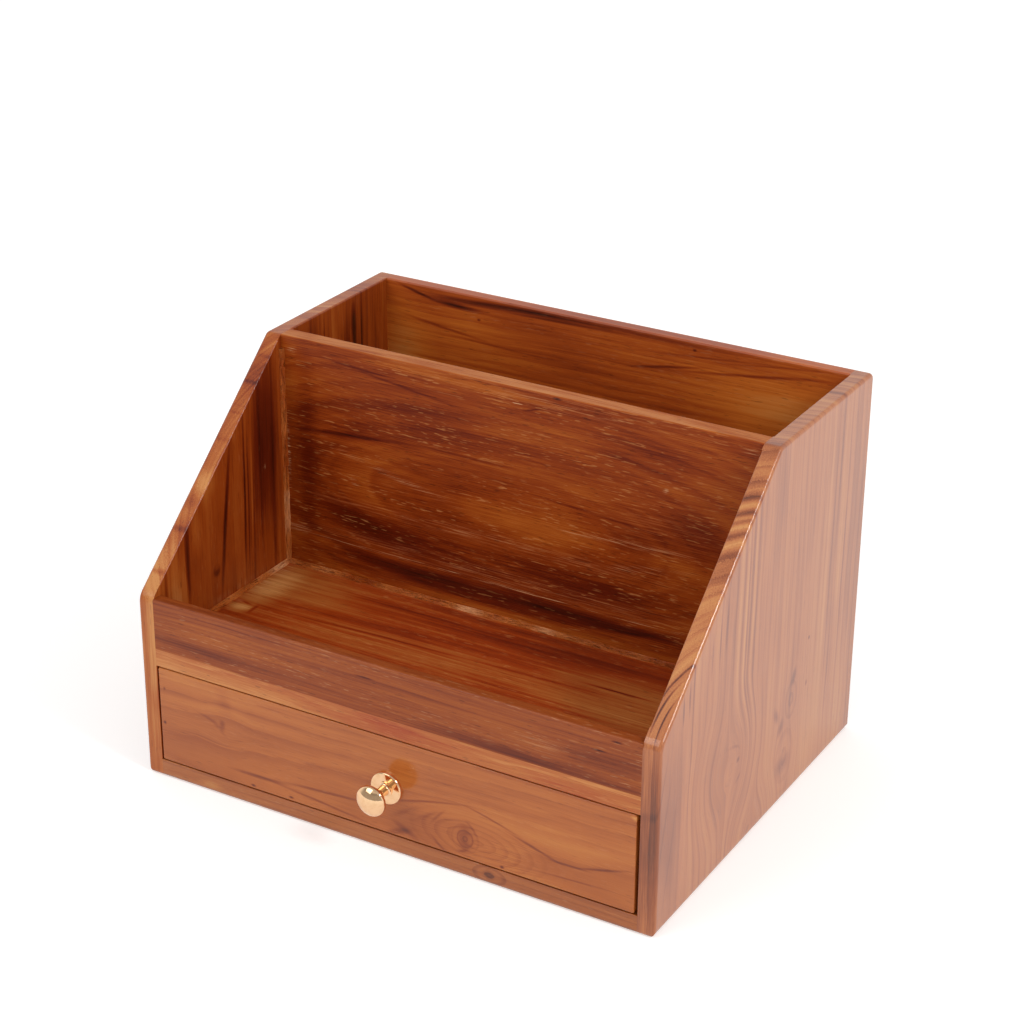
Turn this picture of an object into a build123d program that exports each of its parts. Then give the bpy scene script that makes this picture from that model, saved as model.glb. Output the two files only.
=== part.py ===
from build123d import *
import math
import os

# Desk organizer in solid teak: a tray in front, a deeper slot behind it, and a drawer below.
# Millimetres. X runs left to right, Y front to back, Z up. The origin is the middle of the
# carcass footprint, on the surface that it stands on, and the drawer opens towards -Y.

# Carcass
width = 330.0
depth = 255.5
height = 230.5
front_height = 114.5
slope_run = 131.0
board = 11.0
side_board = 10.4
lip_thickness = 7.5
opening_height = 61.5

# Softened edges
outer_round = 2.2
bottom_round = 4.5
foot_corner = 2.6
back_corner = 4.0
slope_corner_low = 10.0
slope_corner_high = 4.0
inner_arris = 1.0
opening_arris = 0.4

# Drawer
drawer_gap_left = 0.8
drawer_gap_right = 2.0
drawer_gap_above = 0.8
drawer_gap_below = 0.6
drawer_run_gap = 0.25
drawer_board = 8.0
drawer_side_height = 50.0
drawer_length = 236.0
front_rabbet = 6.0
bottom_thickness = 4.0
bottom_lift = 6.0
groove_depth = 4.0
bottom_play = 0.5
drawer_front_round = 0.9
drawer_front_corner = 1.2
drawer_wood_arris = 1.0

# Drawer stops, glued to the base behind the drawer
stop_width = 22.0
stop_height = 14.0
stop_gap = 0.2

# Hidden dowels and brads
dowel_radius = 3.0
dowel_length = 20.0
dowel_in_side = 7.0
lip_dowel_radius = 2.0
glue_film = 0.05
dowel_chamfer = 0.6
brad_radius = 0.7
brad_length = 22.0
brad_head_radius = 1.2
brad_head_height = 0.8
bottom_brad_length = 16.0

# Brass knob
rosette_radius = 9.7
rosette_thickness = 2.2
rosette_rim = 0.9
knob_radius = 9.2
knob_reach = 21.2
knob_head_thickness = 7.1
knob_dome_radius = 12.5
knob_edge_radius = 2.2
knob_neck_radius = 3.0
knob_cove = 1.2
knob_collar_radius = 4.5
knob_collar_height = 0.7
knob_right_of_middle = 1.1
knob_below_middle = 0.75
screw_radius = 2.0
screw_clearance = 0.25
screw_thread_gap = 0.05
screw_in_knob = 8.0
screw_head_radius = 3.9
screw_head_height = 2.6
slot_width = 1.0
slot_depth = 1.1
washer_radius = 5.5
washer_thickness = 0.9

front_y = -depth / 2
back_y = depth / 2
inner_half = width / 2 - side_board
back_face_y = back_y - board
divider_front_y = front_y + slope_run
shelf_low = board + opening_height
shelf_high = shelf_low + board
slope_angle = math.degrees(math.atan2(height - front_height, slope_run))


def slab(x0, x1, y0, y1, z0, z1):
    """A board given by its lowest and highest corners."""
    return Pos((x0 + x1) / 2, (y0 + y1) / 2, (z0 + z1) / 2) * Box(x1 - x0, y1 - y0, z1 - z0)


def rod_x(x0, x1, y, z, radius):
    """A round rod that lies along X."""
    return Pos((x0 + x1) / 2, y, z) * Rot(0, 90, 0) * Cylinder(radius, x1 - x0)


def rod_y(x, y0, y1, z, radius):
    """A round rod that lies along Y."""
    return Pos(x, (y0 + y1) / 2, z) * Rot(90, 0, 0) * Cylinder(radius, y1 - y0)


def long_edges(solid, axis, **places):
    """The straight edges that lie along one axis, at the given places on the other axes."""
    found = []
    for edge in solid.edges().filter_by(axis):
        centre = edge.center()
        if all(abs(getattr(centre, name) - place) < 0.01 for name, place in places.items()):
            found.append(edge)
    return found


def round_over(start, finish, first, second, radius):
    """What a round-over cutter takes off the straight edge from start to finish.

    first and second are unit vectors from the edge into the two faces that meet there.
    """
    direction = (Vector(*finish) - Vector(*start)).normalized()
    plane = Plane(origin=start, x_dir=first, z_dir=direction)
    up = 1 if plane.y_dir.dot(Vector(*second)) > 0 else -1
    corner = Pos(radius / 2, up * radius / 2) * Rectangle(radius, radius)
    corner -= Pos(radius, up * radius) * Circle(radius)
    length = (Vector(*finish) - Vector(*start)).length
    return extrude(plane * corner, amount=length, dir=direction)


def spread(first, last, count):
    """Evenly spaced places, both ends included."""
    return [first + (last - first) * k / (count - 1) for k in range(count)]


# Places of the hidden dowels, as (y, z) of each one's axis
shelf_dowel_places = [(y, (shelf_low + shelf_high) / 2) for y in spread(front_y + 24, back_face_y - 20, 4)]
base_dowel_places = [(y, board / 2) for y in spread(front_y + 24, back_face_y - 20, 4)]
divider_dowel_places = [(divider_front_y + board / 2, z) for z in spread(shelf_high + 24, height - 26, 3)]
back_dowel_places = [(back_y - board / 2, z) for z in spread(26, height - 26, 4)]
lip_dowel_places = [(front_y + lip_thickness / 2, z) for z in (shelf_high + 8, front_height - 8)]


def dowels(places, radius):
    """One dowel at each place and each end of the board, as separate solids."""
    rods = []
    for side in (-1, 1):
        near = side * (inner_half + dowel_in_side)
        far = near - side * dowel_length
        for y, z in places:
            rod = rod_x(min(near, far), max(near, far), y, z, radius)
            rods.append(chamfer(rod.edges().filter_by(GeomType.CIRCLE), dowel_chamfer))
    return rods


def dowel_holes(places, radius):
    """The holes that those dowels fill, cut from the side panel and from the board's ends."""
    holes = []
    for side in (-1, 1):
        near = side * (inner_half + dowel_in_side)
        far = near - side * dowel_length
        for y, z in places:
            holes.append(rod_x(min(near, far), max(near, far), y, z, radius + glue_film))
    return holes


def side_panel(side):
    """Outer panel: a pentagon with the sloping front, rounded all round its outer face."""
    outline = Polyline(
        (front_y, 0),
        (back_y, 0),
        (back_y, height),
        (divider_front_y, height),
        (front_y, front_height),
        close=True,
    )
    face = make_face(outline)
    corners = {
        (front_y, 0): foot_corner,
        (back_y, 0): foot_corner,
        (back_y, height): back_corner,
        (divider_front_y, height): slope_corner_high,
        (front_y, front_height): slope_corner_low,
    }
    for (y, z), radius in corners.items():
        here = [v for v in face.vertices() if abs(v.X - y) < 0.01 and abs(v.Y - z) < 0.01]
        face = fillet(here, radius)
    # The sketch's X and Y become the panel's Y and Z
    panel = extrude(Plane.YZ * face, amount=side_board)
    panel = Pos(inner_half if side > 0 else -width / 2, 0, 0) * panel
    outside = panel.faces().sort_by(Axis.X)[-1 if side > 0 else 0]
    panel = fillet(outside.edges(), outer_round)

    inner_x = side * inner_half
    into = (side, 0, 0)
    rise = (0, math.cos(math.radians(slope_angle)), math.sin(math.radians(slope_angle)))
    below = (0, rise[2], -rise[1])

    def on_slope(run):
        return (inner_x, front_y + run, front_height + run * rise[2] / rise[1])

    slope_cut = round_over(on_slope(lip_thickness), on_slope(slope_run - 3), into, below, inner_arris)
    top_cut = round_over(
        (inner_x, divider_front_y + board, height),
        (inner_x, back_face_y, height),
        into,
        (0, 0, -1),
        inner_arris,
    )
    front_cut = round_over(
        (inner_x, front_y, board), (inner_x, front_y, shelf_low), into, (0, 1, 0), opening_arris
    )
    outer_x = side * width / 2
    bottom_cut = round_over(
        (outer_x, front_y, 0), (outer_x, back_y, 0), (-side, 0, 0), (0, 0, 1), bottom_round
    )
    panel = panel - [slope_cut, top_cut, front_cut, bottom_cut]

    holes = dowel_holes(shelf_dowel_places, dowel_radius) + dowel_holes(base_dowel_places, dowel_radius)
    holes += dowel_holes(divider_dowel_places, dowel_radius) + dowel_holes(back_dowel_places, dowel_radius)
    holes += dowel_holes(lip_dowel_places, lip_dowel_radius)
    return panel - holes


def base_board():
    """Bottom of the carcass, which the drawer runs on."""
    solid = slab(-inner_half, inner_half, front_y, back_face_y, 0, board)
    solid = fillet(long_edges(solid, Axis.X, Y=front_y, Z=0), foot_corner)
    solid = fillet(long_edges(solid, Axis.X, Y=front_y, Z=board), opening_arris)
    return solid - dowel_holes(base_dowel_places, dowel_radius)


def middle_shelf():
    """Floor of the tray and of the rear slot. Its front edge shows below the lip."""
    solid = slab(-inner_half, inner_half, front_y, back_face_y, shelf_low, shelf_high)
    solid = fillet(long_edges(solid, Axis.X, Y=front_y, Z=shelf_low), opening_arris)
    return solid - dowel_holes(shelf_dowel_places, dowel_radius)


def front_lip():
    """Thin board on the shelf's front edge that keeps things in the tray."""
    lip_back_y = front_y + lip_thickness
    solid = slab(-inner_half, inner_half, front_y, lip_back_y, shelf_high, front_height)
    top_edges = long_edges(solid, Axis.X, Y=front_y, Z=front_height)
    top_edges += long_edges(solid, Axis.X, Y=lip_back_y, Z=front_height)
    solid = fillet(top_edges, inner_arris)
    return solid - dowel_holes(lip_dowel_places, lip_dowel_radius)


def divider_panel():
    """Upright board between the tray and the rear slot."""
    far_y = divider_front_y + board
    solid = slab(-inner_half, inner_half, divider_front_y, far_y, shelf_high, height)
    top_edges = long_edges(solid, Axis.X, Y=divider_front_y, Z=height)
    top_edges += long_edges(solid, Axis.X, Y=far_y, Z=height)
    solid = fillet(top_edges, inner_arris)
    return solid - dowel_holes(divider_dowel_places, dowel_radius)


def back_panel():
    """Back of the carcass, between the sides, from the floor to the top."""
    solid = slab(-inner_half, inner_half, back_face_y, back_y, 0, height)
    solid = fillet(long_edges(solid, Axis.X, Y=back_y, Z=height), back_corner)
    solid = fillet(long_edges(solid, Axis.X, Y=back_y, Z=0), foot_corner)
    solid = fillet(long_edges(solid, Axis.X, Y=back_face_y, Z=height), inner_arris)
    return solid - dowel_holes(back_dowel_places, dowel_radius)


# Places that the drawer's pieces share
drawer_left = -inner_half + drawer_gap_left
drawer_right = inner_half - drawer_gap_right
drawer_front_low = board + drawer_gap_below
drawer_front_high = shelf_low - drawer_gap_above
drawer_back_y = front_y + drawer_length
drawer_front_back_y = front_y + board
rabbet_y = drawer_front_back_y - front_rabbet
side_low = board + drawer_run_gap
side_high = side_low + drawer_side_height
groove_low = side_low + bottom_lift
groove_high = groove_low + bottom_thickness
knob_x = (drawer_left + drawer_right) / 2 + knob_right_of_middle
knob_z = (drawer_front_low + drawer_front_high) / 2 - knob_below_middle
brad_rows = (side_low + 14, side_high - 10)


def drawer_side_brads():
    """Brads through the drawer sides into the front's rabbets and into the back's ends."""
    brads = []
    for side in (-1, 1):
        outer = drawer_left if side < 0 else drawer_right
        for y in ((rabbet_y + drawer_front_back_y) / 2, drawer_back_y - drawer_board / 2):
            for z in brad_rows:
                inner = outer - side * brad_length
                shank = rod_x(min(outer, inner), max(outer, inner), y, z, brad_radius)
                head_end = outer - side * brad_head_height
                head = rod_x(min(outer, head_end), max(outer, head_end), y, z, brad_head_radius)
                brads.append(shank + head)
    return brads


def drawer_bottom_brads():
    """Brads up through the bottom into the lower edge of the drawer back."""
    brads = []
    for x in spread(drawer_left + 40, drawer_right - 40, 4):
        y = drawer_back_y - drawer_board / 2
        shank = Pos(x, y, groove_low + bottom_brad_length / 2) * Cylinder(brad_radius, bottom_brad_length)
        head = Pos(x, y, groove_low + brad_head_height / 2) * Cylinder(brad_head_radius, brad_head_height)
        brads.append(shank + head)
    return brads


def drawer_front():
    """Inset drawer front, flush with the carcass, with rabbets for the sides at its ends."""
    solid = slab(
        drawer_left, drawer_right, front_y, drawer_front_back_y, drawer_front_low, drawer_front_high
    )
    solid = fillet(solid.edges().filter_by(Axis.Y), drawer_front_corner)
    solid = fillet(solid.faces().sort_by(Axis.Y)[0].edges(), drawer_front_round)
    rabbets = []
    for x0, x1 in (
        (drawer_left - 1, drawer_left + drawer_board),
        (drawer_right - drawer_board, drawer_right + 1),
    ):
        rabbets.append(slab(x0, x1, rabbet_y, drawer_front_back_y + 1, board, side_high))
    groove = slab(
        drawer_left + drawer_board - groove_depth,
        drawer_right - drawer_board + groove_depth,
        drawer_front_back_y - groove_depth,
        drawer_front_back_y + 1,
        groove_low,
        groove_high,
    )
    hole = rod_y(knob_x, front_y - 1, drawer_front_back_y + 1, knob_z, screw_radius + screw_clearance)
    return solid - rabbets - groove - hole - drawer_side_brads()


def drawer_side(side):
    """Drawer side, let into the front's rabbet and grooved for the bottom."""
    outer = drawer_left if side < 0 else drawer_right
    inner = outer - side * drawer_board
    solid = slab(min(outer, inner), max(outer, inner), rabbet_y, drawer_back_y, side_low, side_high)
    solid = fillet(long_edges(solid, Axis.Y, Z=side_high), drawer_wood_arris)
    groove_end = inner + side * groove_depth
    groove = slab(
        min(inner, groove_end), max(inner, groove_end), rabbet_y, drawer_back_y, groove_low, groove_high
    )
    return solid - groove - drawer_side_brads()


def drawer_back():
    """Drawer back, between the sides, standing on the bottom."""
    solid = slab(
        drawer_left + drawer_board,
        drawer_right - drawer_board,
        drawer_back_y - drawer_board,
        drawer_back_y,
        groove_high,
        side_high,
    )
    solid = fillet(long_edges(solid, Axis.X, Z=side_high), drawer_wood_arris)
    return solid - drawer_side_brads() - drawer_bottom_brads()


def drawer_bottom():
    """Thin plywood that slides into the grooves from behind, under the drawer back."""
    reach = groove_depth - bottom_play
    solid = slab(
        drawer_left + drawer_board - reach,
        drawer_right - drawer_board + reach,
        drawer_front_back_y - reach,
        drawer_back_y,
        groove_low,
        groove_high,
    )
    return solid - drawer_bottom_brads()


def drawer_stop(side):
    """Small block glued to the base, which the end of the drawer side closes against."""
    near_y = drawer_back_y + stop_gap
    outer = side * inner_half
    inner = outer - side * stop_width
    solid = slab(min(outer, inner), max(outer, inner), near_y, back_face_y, board, board + stop_height)
    inner_edge = long_edges(solid, Axis.Y, X=inner, Z=board + stop_height)
    return fillet(inner_edge, drawer_wood_arris)


def turned(half_outline):
    """A turned piece: half its outline, as (radius, place along Y from the front), spun once."""
    through_axis = Plane(origin=(knob_x, front_y, knob_z), x_dir=(1, 0, 0), z_dir=(0, 0, 1))
    return revolve(through_axis * make_face(half_outline), Axis((knob_x, front_y, knob_z), (0, -1, 0)))


def knob_rosette():
    """Round brass plate with a rounded rim, between the knob and the wood."""
    hole = screw_radius + screw_clearance
    top = -rosette_thickness
    rim_low = (rosette_radius, top + rosette_rim)
    rim_mid = (rosette_radius - 0.3 * rosette_rim, top + 0.3 * rosette_rim)
    rim_high = (rosette_radius - rosette_rim, top)
    outline = Polyline((hole, top), (hole, 0), (rosette_radius, 0), rim_low)
    outline += [ThreePointArc(rim_low, rim_mid, rim_high), Line(rim_high, (hole, top))]
    return turned(outline)


def knob():
    """Turned brass knob: a small collar, a straight neck and a thick head with a domed face."""
    foot = -rosette_thickness
    collar = foot - knob_collar_height
    tip = -knob_reach
    head_back = tip + knob_head_thickness
    # The head's edge is an arc that the dome of its face runs into without a crease
    dome_centre = tip + knob_dome_radius
    edge_offset = knob_radius - knob_edge_radius
    edge_centre = dome_centre - math.sqrt((knob_dome_radius - knob_edge_radius) ** 2 - edge_offset**2)
    stretch = knob_dome_radius / (knob_dome_radius - knob_edge_radius)
    rim = (edge_offset * stretch, dome_centre + (edge_centre - dome_centre) * stretch)
    widest = (knob_radius, edge_centre)
    head_root = (edge_offset, head_back)
    cove_radius = knob_neck_radius + knob_cove
    neck_low = (knob_neck_radius, collar - knob_cove)
    neck_high = (knob_neck_radius, head_back + knob_cove)
    outline = Polyline(
        (0, tip), (0, foot), (knob_collar_radius, foot), (knob_collar_radius, collar), (cove_radius, collar)
    )
    outline += [
        TangentArc((cove_radius, collar), neck_low, tangent=(-1, 0)),
        Line(neck_low, neck_high),
        TangentArc(neck_high, (cove_radius, head_back), tangent=(0, -1)),
        Line((cove_radius, head_back), head_root),
        TangentArc(widest, head_root, tangent=(0, 1)),
        TangentArc(widest, rim, tangent=(0, -1)),
        TangentArc((0, tip), rim, tangent=(1, 0)),
    ]
    bore_end = front_y + foot - screw_in_knob
    return turned(outline) - rod_y(knob_x, bore_end, front_y, knob_z, screw_radius + screw_thread_gap)


def knob_washer():
    """Flat steel washer under the screw head, inside the drawer."""
    y0 = drawer_front_back_y
    ring = rod_y(knob_x, y0, y0 + washer_thickness, knob_z, washer_radius)
    return ring - rod_y(knob_x, y0 - 1, y0 + washer_thickness + 1, knob_z, screw_radius + screw_clearance)


def knob_screw():
    """Slotted steel screw, from inside the drawer into the knob."""
    under_head = drawer_front_back_y + washer_thickness
    tip = front_y - rosette_thickness - screw_in_knob
    shank = rod_y(knob_x, tip, under_head, knob_z, screw_radius)
    top = under_head + screw_head_height
    head = rod_y(knob_x, under_head, top, knob_z, screw_head_radius)
    crown = head.edges().filter_by(GeomType.CIRCLE).sort_by(Axis.Y)[-1]
    head = fillet(crown, 1.2)
    slot = slab(
        knob_x - screw_head_radius,
        knob_x + screw_head_radius,
        top - slot_depth,
        top + 1,
        knob_z - slot_width / 2,
        knob_z + slot_width / 2,
    )
    return shank + head - slot


pieces = {
    "left_side_panel": side_panel(-1),
    "right_side_panel": side_panel(1),
    "base_board": base_board(),
    "middle_shelf": middle_shelf(),
    "front_lip": front_lip(),
    "divider_panel": divider_panel(),
    "back_panel": back_panel(),
    "base_dowels": dowels(base_dowel_places, dowel_radius),
    "shelf_dowels": dowels(shelf_dowel_places, dowel_radius),
    "lip_dowels": dowels(lip_dowel_places, lip_dowel_radius),
    "divider_dowels": dowels(divider_dowel_places, dowel_radius),
    "back_dowels": dowels(back_dowel_places, dowel_radius),
    "drawer_stop_left": drawer_stop(-1),
    "drawer_stop_right": drawer_stop(1),
    "drawer_front": drawer_front(),
    "drawer_left_side": drawer_side(-1),
    "drawer_right_side": drawer_side(1),
    "drawer_back": drawer_back(),
    "drawer_bottom": drawer_bottom(),
    "drawer_side_brads": drawer_side_brads(),
    "drawer_bottom_brads": drawer_bottom_brads(),
    "knob_rosette": knob_rosette(),
    "knob": knob(),
    "knob_washer": knob_washer(),
    "knob_screw": knob_screw(),
}

os.makedirs("parts", exist_ok=True)
for node, shape in pieces.items():
    if isinstance(shape, list):
        shape = Compound(children=shape)
    export_step(shape, f"parts/{node}.step")
    print(node, len(shape.solids()), "solids", round(shape.volume), "mm3")
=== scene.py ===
# %% [markdown]
# Teak desk organizer with a drawer, dressed for its portrait.
#
# The boards, the drawer box and the knob arrive as finished solids at their real size. What is
# left to do is what a finisher and a photographer would do: give every board the figure of the
# teak it was sawn from, lacquer it, polish the brass, add the squeezed-out glue along the inner
# joints, and light the whole thing softly on a pale table.

# %% Load the frame
import math

import bpy
from mathutils import Matrix, Vector


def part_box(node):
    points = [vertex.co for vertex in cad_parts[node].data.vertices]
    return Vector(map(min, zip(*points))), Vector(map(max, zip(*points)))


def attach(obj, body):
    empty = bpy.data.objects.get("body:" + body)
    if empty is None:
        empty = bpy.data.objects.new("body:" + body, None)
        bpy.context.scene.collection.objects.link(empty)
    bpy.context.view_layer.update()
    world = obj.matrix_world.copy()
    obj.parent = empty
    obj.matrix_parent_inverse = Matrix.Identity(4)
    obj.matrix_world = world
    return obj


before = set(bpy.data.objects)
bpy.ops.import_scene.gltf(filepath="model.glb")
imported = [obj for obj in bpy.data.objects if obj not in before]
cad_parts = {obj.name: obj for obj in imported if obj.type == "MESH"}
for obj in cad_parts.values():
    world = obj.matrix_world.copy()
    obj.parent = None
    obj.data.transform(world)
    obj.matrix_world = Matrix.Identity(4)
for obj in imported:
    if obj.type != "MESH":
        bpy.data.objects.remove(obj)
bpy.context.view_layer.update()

# %% [markdown]
# The portrait was taken with a long lens, a little to the right and from above. The camera is
# given the way a photographer would describe it: how far round, how high, how far away and what
# it points at. A long lens keeps the boards' edges nearly parallel, as they are in the portrait.

# %% Camera
MM = 0.001
VIEW_AROUND = math.radians(30.06)
VIEW_ABOVE = math.radians(25.13)
VIEW_ROLL = math.radians(0.39)
VIEW_DISTANCE = 1352 * MM
VIEW_TARGET = Vector((14.1, -17.8, 165.4)) * MM
LENS = 85.6
FARTHEST_SEEN = 50


def view_direction(around, above):
    """The direction from the object towards a camera that stands so far round and above."""
    return Vector(
        (math.sin(around) * math.cos(above), -math.cos(around) * math.cos(above), math.sin(above))
    )


towards_camera = view_direction(VIEW_AROUND, VIEW_ABOVE)
camera_data = bpy.data.cameras.new("portrait_camera")
camera_data.lens = LENS
camera_data.clip_end = FARTHEST_SEEN
camera = bpy.data.objects.new("portrait_camera", camera_data)
bpy.context.scene.collection.objects.link(camera)
stand = Matrix.Translation(VIEW_TARGET + towards_camera * VIEW_DISTANCE)
aim = towards_camera.to_track_quat("Z", "Y").to_matrix() @ Matrix.Rotation(VIEW_ROLL, 3, "Z")
camera.matrix_world = stand @ aim.to_4x4()
bpy.context.scene.camera = camera
bpy.context.scene.view_settings.view_transform = "Standard"
print("camera at", [round(v, 3) for v in camera.location])

# %% [markdown]
# A material in Blender is a small graph. One helper adds a node with its settings and its links,
# so that each material below reads as a list of steps. Colours are written as the sRGB values
# that a paint chart or a colour picker shows, and one function turns them into linear light.

# %% Helpers for materials


def linear(hex_colour):
    """An sRGB hex colour as the linear values that shaders work with."""
    parts = [int(hex_colour[k:k + 2], 16) / 255 for k in (1, 3, 5)]
    return [p / 12.92 if p <= 0.04045 else ((p + 0.055) / 1.055) ** 2.4 for p in parts] + [1.0]


def fill(tree, node, inputs):
    """Fills the inputs of a node with values, nodes, or pairs of a node and its output."""
    for key, value in inputs.items():
        if isinstance(value, bpy.types.Node):
            value = (value, 0)
        if isinstance(value, tuple) and isinstance(value[0], bpy.types.Node):
            tree.links.new(value[0].outputs[value[1]], node.inputs[key])
        else:
            node.inputs[key].default_value = value


def add(tree, kind, inputs=None, stops=(), **settings):
    """Adds one node with its inputs and settings; stops fill a colour ramp."""
    made = tree.nodes.new("ShaderNode" + kind)
    for name, value in settings.items():
        setattr(made, name, value)
    fill(tree, made, inputs or {})
    for k, (place, colour) in enumerate(stops):
        ramp = made.color_ramp
        stop = ramp.elements[k] if k < 2 else ramp.elements.new(place)
        stop.position = place
        stop.color = linear(colour)
    return made


print("middle grey in linear light:", round(linear("#808080")[0], 3))

# %% [markdown]
# A few steps come back in every material: a bit of arithmetic, turning one range of numbers into
# another, the place of a point in millimetres, and a noise that is stretched along the grain.
# Each gets a short name, and so does starting a material and giving it to a piece.

# %% Steps that the materials share


def calc(tree, operation, *values):
    """One step of arithmetic."""
    return add(tree, "Math", dict(enumerate(values)), operation=operation)


def spread(tree, value, start, end, low=0.0, high=1.0, soft=False):
    """Turns a value between start and end into one between low and high, and stops there."""
    return add(
        tree,
        "MapRange",
        {"Value": value, "From Min": start, "From Max": end, "To Min": low, "To Max": high},
        interpolation_type="SMOOTHSTEP" if soft else "LINEAR",
    )


def millimetres(tree, turn=(0, 0, 0)):
    """Object coordinates in millimetres, turned so that X is along the grain."""
    place = add(tree, "TexCoord")
    scale = (1 / MM, 1 / MM, 1 / MM)
    return add(tree, "Mapping", {"Vector": (place, "Object"), "Rotation": turn, "Scale": scale})


def stretched_noise(tree, place, reach, detail, shift=(0, 0, 0), **more):
    """A noise whose patches reach so many millimetres in each direction."""
    scale = [1 / r for r in reach]
    stretched = add(tree, "Mapping", {"Vector": place, "Location": shift, "Scale": scale})
    return add(tree, "TexNoise", {"Vector": stretched, "Scale": 1.0, "Detail": detail, **more})


def new_material(name):
    """An empty material with its output node and a Principled shader already joined."""
    material = bpy.data.materials.new(name)
    material.use_nodes = True
    tree = material.node_tree
    tree.nodes.clear()
    shader = add(tree, "BsdfPrincipled")
    add(tree, "OutputMaterial", {"Surface": shader})
    return material, tree, shader


def finish_node(node_name, material):
    """Gives a carried-over piece its finish."""
    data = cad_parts[node_name].data
    data.materials.clear()
    data.materials.append(material)


print("pieces that wait for a finish:", len(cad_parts))

# %% [markdown]
# Teak is a solid, so its figure has to agree on all faces of a board: what shows as long lines on
# the face comes out as short stripes on the sawn end. The pattern is therefore not painted on each
# face but grown in three dimensions, as in the log. Each board has a pith, the centre of the tree,
# somewhere beside or below it. The distance from the pith is the age of the wood at that point,
# and the growth rings are bands of that distance.
#
# All sizes are millimetres of the real board. In the board's own directions, u runs along the
# grain, v across the face and w through the thickness.

# %% The wood: where the rings lie
ACROSS_THE_FACE = (0, 0, 0)
UPRIGHT_FACE = (math.radians(-90), 0, 0)
UPRIGHT_GRAIN = (0, math.radians(90), 0)
DRIFT_REACH = (170, 60, 60)


def ellipse_distance(tree, place, u, v, reach_u, reach_v, lean=0.0):
    """How far out a point lies in an ellipse on the board's face: 0 in its middle, 1 on its rim."""
    angle = math.radians(lean)
    shift = (
        -(u * math.cos(angle) + v * math.sin(angle)) / reach_u,
        -(v * math.cos(angle) - u * math.sin(angle)) / reach_v,
        0,
    )
    turned = add(tree, "Mapping", {"Vector": place, "Rotation": (0, 0, -angle)})
    scaled = add(
        tree,
        "VectorMath",
        {0: turned, 1: (1 / reach_u, 1 / reach_v, 0), 2: shift},
        operation="MULTIPLY_ADD",
    )
    away = add(tree, "VectorMath", {0: scaled}, operation="LENGTH")
    return (away, "Value")


def soft_ellipse(tree, place, *ellipse):
    """A patch on the board's face: 1 in its middle and 0 from its rim on."""
    return spread(tree, ellipse_distance(tree, place, *ellipse), 1.0, 0.0, soft=True)


def ring_age(tree, mm, pith, wander, knots, seed):
    """Distance from the pith in millimetres, with the slow wander of real grain and its knots.

    The pith is (v, w, tilt, bow). A log that isn't parallel to the board, tilted or bowed, gives
    the face its cathedral points and eyes. The grain flows round a knot, which is given as
    (u, v, reach_u, reach_v, lean, push, rings, depth): push is how hard it presses its neighbours
    aside, in millimetres, and rings and depth are for the rings of the knot itself.
    """
    pith_v, pith_w, tilt, bow = pith
    drift = stretched_noise(tree, mm, DRIFT_REACH, 3.0, (seed, seed * 2, 0))
    wandered = add(
        tree,
        "VectorMath",
        {0: (drift, "Color"), 1: (0, 2 * wander, 0), 2: mm},
        operation="MULTIPLY_ADD",
    )
    moved = add(tree, "VectorMath", {0: wandered, 1: (0, -wander, 0)}, operation="ADD")
    eyes = []
    for u, v, reach_u, reach_v, lean, push, rings, depth in knots:
        ellipse = (u, v, reach_u, reach_v, lean)
        eyes.append((ellipse_distance(tree, mm, *ellipse), rings, depth))
        near = soft_ellipse(tree, mm, *ellipse)
        aside = add(
            tree,
            "VectorMath",
            {0: mm, 1: (0, -push / reach_v, 0), 2: (0, push * v / reach_v, 0)},
            operation="MULTIPLY_ADD",
        )
        bend = add(tree, "VectorMath", {0: aside, "Scale": near}, operation="SCALE")
        moved = add(tree, "VectorMath", {0: moved, 1: bend}, operation="ADD")
    along = add(tree, "SeparateXYZ", {0: moved})
    slant = calc(tree, "MULTIPLY_ADD", (along, "X"), -bow, -tilt)
    nearer = calc(tree, "MULTIPLY_ADD", slant, (along, "X"), (along, "Z"))
    section = add(tree, "CombineXYZ", {"Y": (along, "Y"), "Z": nearer})
    age = add(tree, "VectorMath", {0: section, 1: (0, pith_v, pith_w)}, operation="DISTANCE")
    return moved, (age, "Value"), eyes


print("the grain drifts from side to side over about", DRIFT_REACH[0], "mm")

# %% [markdown]
# Along its face a teak board is never one brown. Broad bands of darker and lighter heartwood
# follow the rings, fine lines follow them too, and over everything lie the fibres, far longer than
# they are wide. Each is a noise read in stretched coordinates, and all of them are added up to one
# number, the tone, that picks the colour from a ramp. Plain wood has the tone 0.5.

# %% The wood: bands, lines and fibres
PLAIN_TONE = 0.5
TONE_PLACES = (0.0, 0.3, PLAIN_TONE, 0.72, 1.0)
CLOUD_REACH = (90, 30, 30)
BAND_REACH = (260, 3.2, 250)
LINE_REACH = (130, 0.62, 250)
FIBRE_REACH = (26, 0.55, 0.55)


def figure(tree, moved, in_rings, ring, contrast, seed):
    """The tone of wood without marks, and the noise of its fibres alone.

    contrast is for the clouds, the broad bands, the fine lines, the year rings and the fibres.
    Bands and lines reach so many rings across. Fibres are about half a millimetre wide here,
    coarser than real ones so that they show.
    """
    clouds, bands, lines, _, fibres = contrast
    along_band, across_band, through_band = BAND_REACH
    along_line, across_line, through_line = LINE_REACH
    layers = (
        (moved, CLOUD_REACH, 2, clouds),
        (in_rings, (along_band, across_band * ring, through_band), 3, bands),
        (in_rings, (along_line, across_line * ring, through_line), 4, lines),
        (moved, FIBRE_REACH, 3, fibres),
    )
    tone = PLAIN_TONE
    for place, reach, detail, amount in layers:
        noise = stretched_noise(tree, place, reach, detail, (seed, 0, seed), Roughness=0.6)
        swing = calc(tree, "MULTIPLY_ADD", noise, 2 * amount, -amount)
        tone = calc(tree, "ADD", tone, swing)
    return tone, noise


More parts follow.
